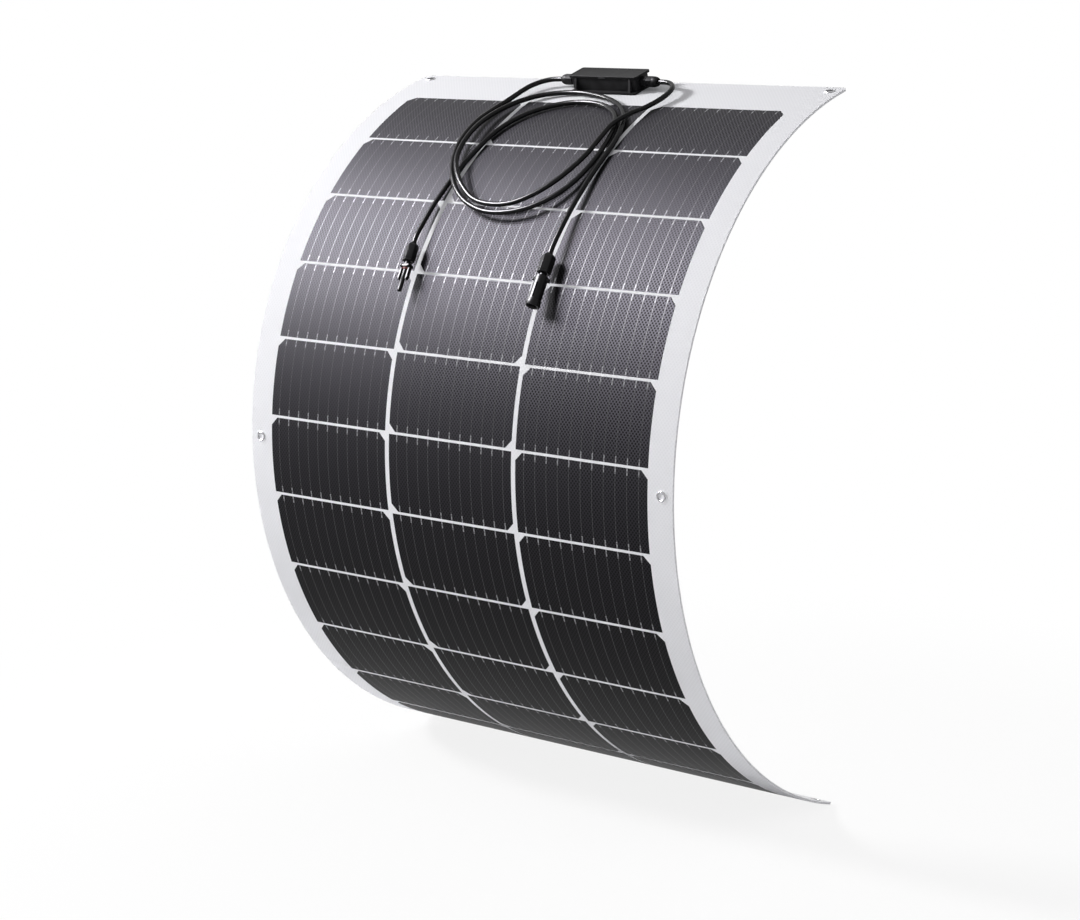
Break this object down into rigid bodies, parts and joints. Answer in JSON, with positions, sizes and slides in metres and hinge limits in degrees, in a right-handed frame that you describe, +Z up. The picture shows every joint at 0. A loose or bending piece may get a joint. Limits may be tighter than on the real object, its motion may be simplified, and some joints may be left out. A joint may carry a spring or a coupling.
{
  "type": "flexible solar sheet",
  "caption": "Bendable laminated solar sheet held in an open arc, with corner eyelets, a junction box, two output leads and plug-in connectors.",
  "frame": {"origin": "centre of the bounding box's bottom face, level with the lowest edge of the sheet", "axes": "+X across the sheet, -Y the way the cells face at mid height, +Z up along the arc's chord"},
  "size_m": [0.624, 0.3281, 0.8528],
  "materials": {
    "backing": "white laminate, satin",
    "cells": "dark silicon cells under the film",
    "film": "clear dimpled film",
    "steel": "plated steel",
    "brass": "bare brass",
    "housing": "black moulded plastic",
    "gasket": "soft black rubber",
    "seal": "dark red silicone rubber",
    "cord_skin": "satin black cable jacket"
  },
  "bodies": {
    "top_section": {"backsheet_top": "backing", "cells_01": "cells", "cells_02": "cells", "front_film_top": "film", "eyelet_top_left": "steel", "eyelet_top_right": "steel", "box_base": "housing", "terminal_negative": "brass", "terminal_positive": "brass", "bypass_diode": "housing", "gland_body_left": "housing", "gland_body_right": "housing", "lead_negative": "cord_skin", "lead_positive": "cord_skin"},
    "row_03": {"backsheet_03": "backing", "cells_03": "cells", "front_film_03": "film", "male_housing": "housing", "male_seal": "seal", "male_sleeve": "housing", "female_housing": "housing", "female_contact": "brass"},
    "row_04": {"backsheet_04": "backing", "cells_04": "cells", "front_film_04": "film"},
    "row_05": {"backsheet_05": "backing", "cells_05": "cells", "front_film_05": "film"},
    "row_06": {"backsheet_06": "backing", "cells_06": "cells", "front_film_06": "film", "eyelet_mid_left": "steel", "eyelet_mid_right": "steel"},
    "row_07": {"backsheet_07": "backing", "cells_07": "cells", "front_film_07": "film"},
    "row_08": {"backsheet_08": "backing", "cells_08": "cells", "front_film_08": "film"},
    "row_09": {"backsheet_09": "backing", "cells_09": "cells", "front_film_09": "film"},
    "row_10": {"backsheet_10": "backing", "cells_10": "cells", "front_film_10": "film"},
    "row_11": {"backsheet_11": "backing", "cells_11": "cells", "front_film_11": "film", "eyelet_bottom_left": "steel", "eyelet_bottom_right": "steel"},
    "box_cover": {"box_lid": "housing", "lid_gasket": "gasket"},
    "gland_nut_left": {"gland_nut_left": "housing"},
    "gland_nut_right": {"gland_nut_right": "housing"},
    "male_cap_nut": {"male_cap_nut": "housing"},
    "female_cap_nut": {"female_cap_nut": "housing"},
    "locking_arm_left": {"locking_arm_left": "housing"},
    "locking_arm_right": {"locking_arm_right": "housing"}
  },
  "joints": [
    {"name": "bend_03", "type": "hinge", "parent": "top_section", "child": "row_03", "pos_m": [0, -0.05586, 0.70111], "axis": [1, 0, 0], "range_deg": [-12.53, 3.5], "stiffness_Nm_per_rad": 150, "deforming": ["lead_negative", "lead_positive"]},
    {"name": "bend_04", "type": "hinge", "parent": "row_03", "child": "row_04", "pos_m": [0, -0.10946, 0.62411], "axis": [1, 0, 0], "range_deg": [-12.53, 3.5], "stiffness_Nm_per_rad": 150},
    {"name": "bend_05", "type": "hinge", "parent": "row_04", "child": "row_05", "pos_m": [0, -0.14509, 0.53733], "axis": [1, 0, 0], "range_deg": [-12.53, 3.5], "stiffness_Nm_per_rad": 150},
    {"name": "bend_06", "type": "hinge", "parent": "row_05", "child": "row_06", "pos_m": [0, -0.16105, 0.44488], "axis": [1, 0, 0], "range_deg": [-12.53, 3.5], "stiffness_Nm_per_rad": 150},
    {"name": "bend_07", "type": "hinge", "parent": "row_06", "child": "row_07", "pos_m": [0, -0.15658, 0.35117], "axis": [1, 0, 0], "range_deg": [-12.53, 3.5], "stiffness_Nm_per_rad": 150},
    {"name": "bend_08", "type": "hinge", "parent": "row_07", "child": "row_08", "pos_m": [0, -0.13189, 0.26067], "axis": [1, 0, 0], "range_deg": [-12.53, 3.5], "stiffness_Nm_per_rad": 150},
    {"name": "bend_09", "type": "hinge", "parent": "row_08", "child": "row_09", "pos_m": [0, -0.08816, 0.17767], "axis": [1, 0, 0], "range_deg": [-12.53, 3.5], "stiffness_Nm_per_rad": 150},
    {"name": "bend_10", "type": "hinge", "parent": "row_09", "child": "row_10", "pos_m": [0, -0.02748, 0.10613], "axis": [1, 0, 0], "range_deg": [-12.53, 3.5], "stiffness_Nm_per_rad": 150},
    {"name": "bend_11", "type": "hinge", "parent": "row_10", "child": "row_11", "pos_m": [0, 0.04728, 0.04945], "axis": [1, 0, 0], "range_deg": [-12.53, 3.5], "stiffness_Nm_per_rad": 150},
    {"name": "lid_lift", "type": "slide", "parent": "top_section", "child": "box_cover", "axis": [0, -0.3054, 0.9522], "range_m": [0, 0.03]},
    {"name": "gland_nut_left_turn", "type": "hinge", "parent": "top_section", "child": "gland_nut_left", "pos_m": [-0.06, 0.13344, 0.83841], "axis": [-1, 0, 0], "range_deg": [-180, 180]},
    {"name": "gland_nut_right_turn", "type": "hinge", "parent": "top_section", "child": "gland_nut_right", "pos_m": [0.06, 0.13344, 0.83841], "axis": [1, 0, 0], "range_deg": [-180, 180]},
    {"name": "male_cap_turn", "type": "hinge", "parent": "row_03", "child": "male_cap_nut", "pos_m": [-0.10064, -0.11053, 0.64794], "axis": [0.0958, -0.535, -0.8394], "range_deg": [-180, 180]},
    {"name": "female_cap_turn", "type": "hinge", "parent": "row_03", "child": "female_cap_nut", "pos_m": [0.10017, -0.11123, 0.64835], "axis": [0.0471, -0.5369, -0.8423], "range_deg": [-180, 180]},
    {"name": "locking_arm_left_flex", "type": "hinge", "parent": "row_03", "child": "locking_arm_left", "pos_m": [-0.10417, -0.12222, 0.62961], "axis": [0, -0.8433, 0.5375], "range_deg": [0, 5], "stiffness_Nm_per_rad": 0.02},
    {"name": "locking_arm_right_flex", "type": "hinge", "parent": "row_03", "child": "locking_arm_right", "pos_m": [-0.09303, -0.12164, 0.63052], "axis": [0, -0.8433, 0.5375], "range_deg": [-5, 0], "stiffness_Nm_per_rad": 0.02}
  ],
  "couplings": [
    {"joint": "bend_04", "follows": "bend_03", "ratio": 1},
    {"joint": "bend_05", "follows": "bend_03", "ratio": 1},
    {"joint": "bend_06", "follows": "bend_03", "ratio": 1},
    {"joint": "bend_07", "follows": "bend_03", "ratio": 1},
    {"joint": "bend_08", "follows": "bend_03", "ratio": 1},
    {"joint": "bend_09", "follows": "bend_03", "ratio": 1},
    {"joint": "bend_10", "follows": "bend_03", "ratio": 1},
    {"joint": "bend_11", "follows": "bend_03", "ratio": 1}
  ]
}
